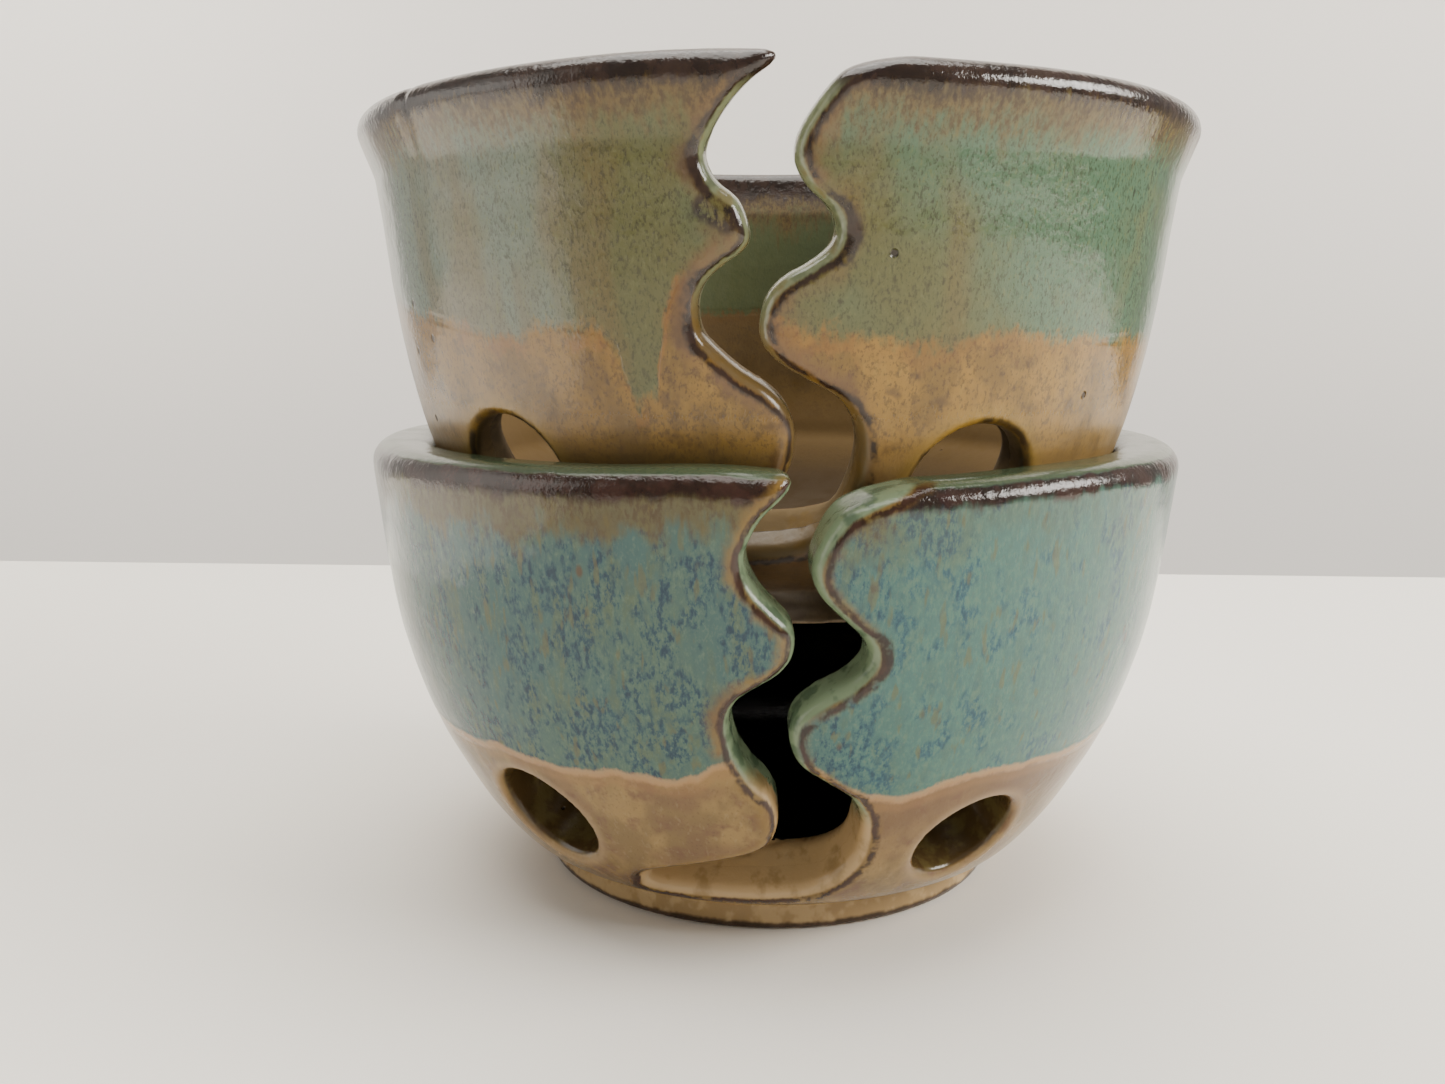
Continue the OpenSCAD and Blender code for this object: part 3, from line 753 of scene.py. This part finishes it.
LC = {**paint((0.295, 0.40, 0.37), teal=(126, 146, 134), blue_green=(106, 138, 140), sage=(146, 142, 106),
              pale=(164, 174, 154), dash=(62, 98, 126), dash_pale=(78, 124, 150), dash_dark=(32, 66, 100), ochre_run=(168, 138, 84),
              rust=(146, 92, 60)),
      **paint((0.30, 0.455, 0.42), aqua=(126, 160, 152)),
      **paint((0.56, 0.60, 0.47), brown=(178, 140, 96), brown2=(148, 116, 78), purple=(130, 90, 70),
              brown_speck=(92, 66, 50), brown_pale=(196, 164, 130), orange=(186, 134, 94)),
      **paint((0.64, 0.65, 0.56), halo=(206, 162, 122)),
      **paint((0.5, 0.49, 0.34), ochre=(124, 102, 50), ochre_dark=(88, 62, 34), edge_ochre=(168, 134, 80), nose=(132, 102, 76), bay=(120, 88, 72)),
      **paint((0.44, 0.46, 0.40), rim_top=(110, 124, 100), rim_top2=(66, 88, 72)),
      **paint((0.34, 0.27, 0.25), maroon=(62, 38, 33), maroon2=(92, 64, 58)),
      # a lightened olive: its own colour plus painted light for the slot's recessed floor
      **paint((1.4, 1.4, 1.5), cut_olive=(150, 126, 88)),
      **paint((0.64, 0.65, 0.56), cut_green=(140, 158, 134), cut_dark=(66, 90, 76),
              hole=(92, 72, 48), hole2=(112, 96, 62), hole_edge=(186, 154, 120)),
      # lightened clay colours: painted light from the floor's bounce
      **paint((1.7, 1.7, 1.55), foot=(128, 106, 76), foot2=(150, 128, 96)),
      # the lower bowl's inside: dark colours painted as shade
      **paint((0.35, 0.35, 0.4), inside=(34, 40, 44), inside2=(52, 44, 38))}

STEP = 1.0
make(LOWER, L_LINE, 30.0, STEP, "lower", "lower_bowl", lower_material())
make(UPPER, U_LINE, 108.0, STEP, "upper", "upper_bowl", upper_material())

# ------------------------------------------------------------------ stage, light and camera
def plane(name, pts, colour):
    me = bpy.data.meshes.new(name)
    me.from_pydata(pts, [], [(0, 1, 2, 3)])
    ob = bpy.data.objects.new(name, me)
    bpy.context.scene.collection.objects.link(ob)
    m = bpy.data.materials.new(name)
    m.use_nodes = True
    b = m.node_tree.nodes["Principled BSDF"]
    b.inputs["Base Color"].default_value = (*colour, 1)
    b.inputs["Roughness"].default_value = 0.7
    me.materials.append(m)
    return ob


plane("floor", [(-3, -3, 0), (3, -3, 0), (3, 0.28, 0), (-3, 0.28, 0)], (0.90, 0.865, 0.80))
back = plane("wall", [(-3, 0.752, -1.2), (3, 0.752, -1.2), (3, 0.752, 2.5), (-3, 0.752, 2.5)], (0.94, 0.90, 0.855))
back.visible_glossy = False
# the middle of the same wall, which is all of it that the glaze mirrors
back = plane("wall_mirrored", [(-0.75, 0.75, -1.2), (0.68, 0.75, -1.2), (0.68, 0.75, 2.5), (-0.75, 0.75, 2.5)],
             (0.94, 0.90, 0.855))
back.visible_camera = back.visible_diffuse = back.visible_shadow = False


def area(name, loc, at, size, watts, colour=(1, 0.965, 0.90)):
    d = bpy.data.lights.new(name, "AREA")
    d.shape = "RECTANGLE"; d.size, d.size_y = size
    d.energy, d.color = watts, colour
    o = bpy.data.objects.new(name, d)
    from mathutils import Vector
    o.location = loc
    o.rotation_euler = (Vector(at) - Vector(loc)).to_track_quat("-Z", "Y").to_euler()
    bpy.context.scene.collection.objects.link(o)
    return o


area("window_right", (1.15, -0.2, 0.70), (0, 0, 0.08), (0.9, 0.45), 24)
area("fill_left", (-1.2, -0.3, 0.6), (0, 0, 0.08), (0.8, 0.9), 2.2)
area("top", (-0.1, 0.12, 1.5), (-0.02, 0.04, 0.0), (1.4, 1.4), 34)
card = area("card_left", (-0.15, -0.075, 0.11), (0, -0.075, 0.11), (0.12, 0.16), 0.085)
card.visible_camera = card.visible_diffuse = False
card = area("card_left_back", (-0.15, 0.043, 0.11), (0, 0.043, 0.11), (0.115, 0.16), 0.034)
card.visible_camera = card.visible_diffuse = False
wash = area("wall_wash", (-0.55, 0.2, 0.9), (-0.6, 0.75, 0.2), (0.4, 0.4), 1.5)
wash.data.spread = math.radians(70)
w = bpy.data.worlds.new("studio")
bpy.context.scene.world = w
w.use_nodes = True
w.node_tree.nodes["Background"].inputs["Color"].default_value = (0.92, 0.895, 0.85, 1)
w.node_tree.nodes["Background"].inputs["Strength"].default_value = 0.40

from mathutils import Matrix, Vector
yaw, pitch, roll = -0.0379, 0.1734, 0.0042
F = Vector((math.sin(yaw) * math.cos(pitch), math.cos(yaw) * math.cos(pitch), -math.sin(pitch)))
R = Vector((math.cos(yaw), -math.sin(yaw), 0))
U = R.cross(F)
R2 = math.cos(roll) * R + math.sin(roll) * U
U2 = -math.sin(roll) * R + math.cos(roll) * U
cam = bpy.data.cameras.new("camera")
cam.sensor_fit = "HORIZONTAL"
cam.sensor_width = 36
cam.lens = 36 * 1270.45 / 1445
cam.clip_start = 0.01
co = bpy.data.objects.new("camera", cam)
rot = Matrix((R2, U2, -F)).transposed()
co.matrix_world = Matrix.Translation((0, -3.3049 * 0.076, 1.3805 * 0.076)) @ rot.to_4x4()
bpy.context.scene.collection.objects.link(co)
bpy.context.scene.camera = co
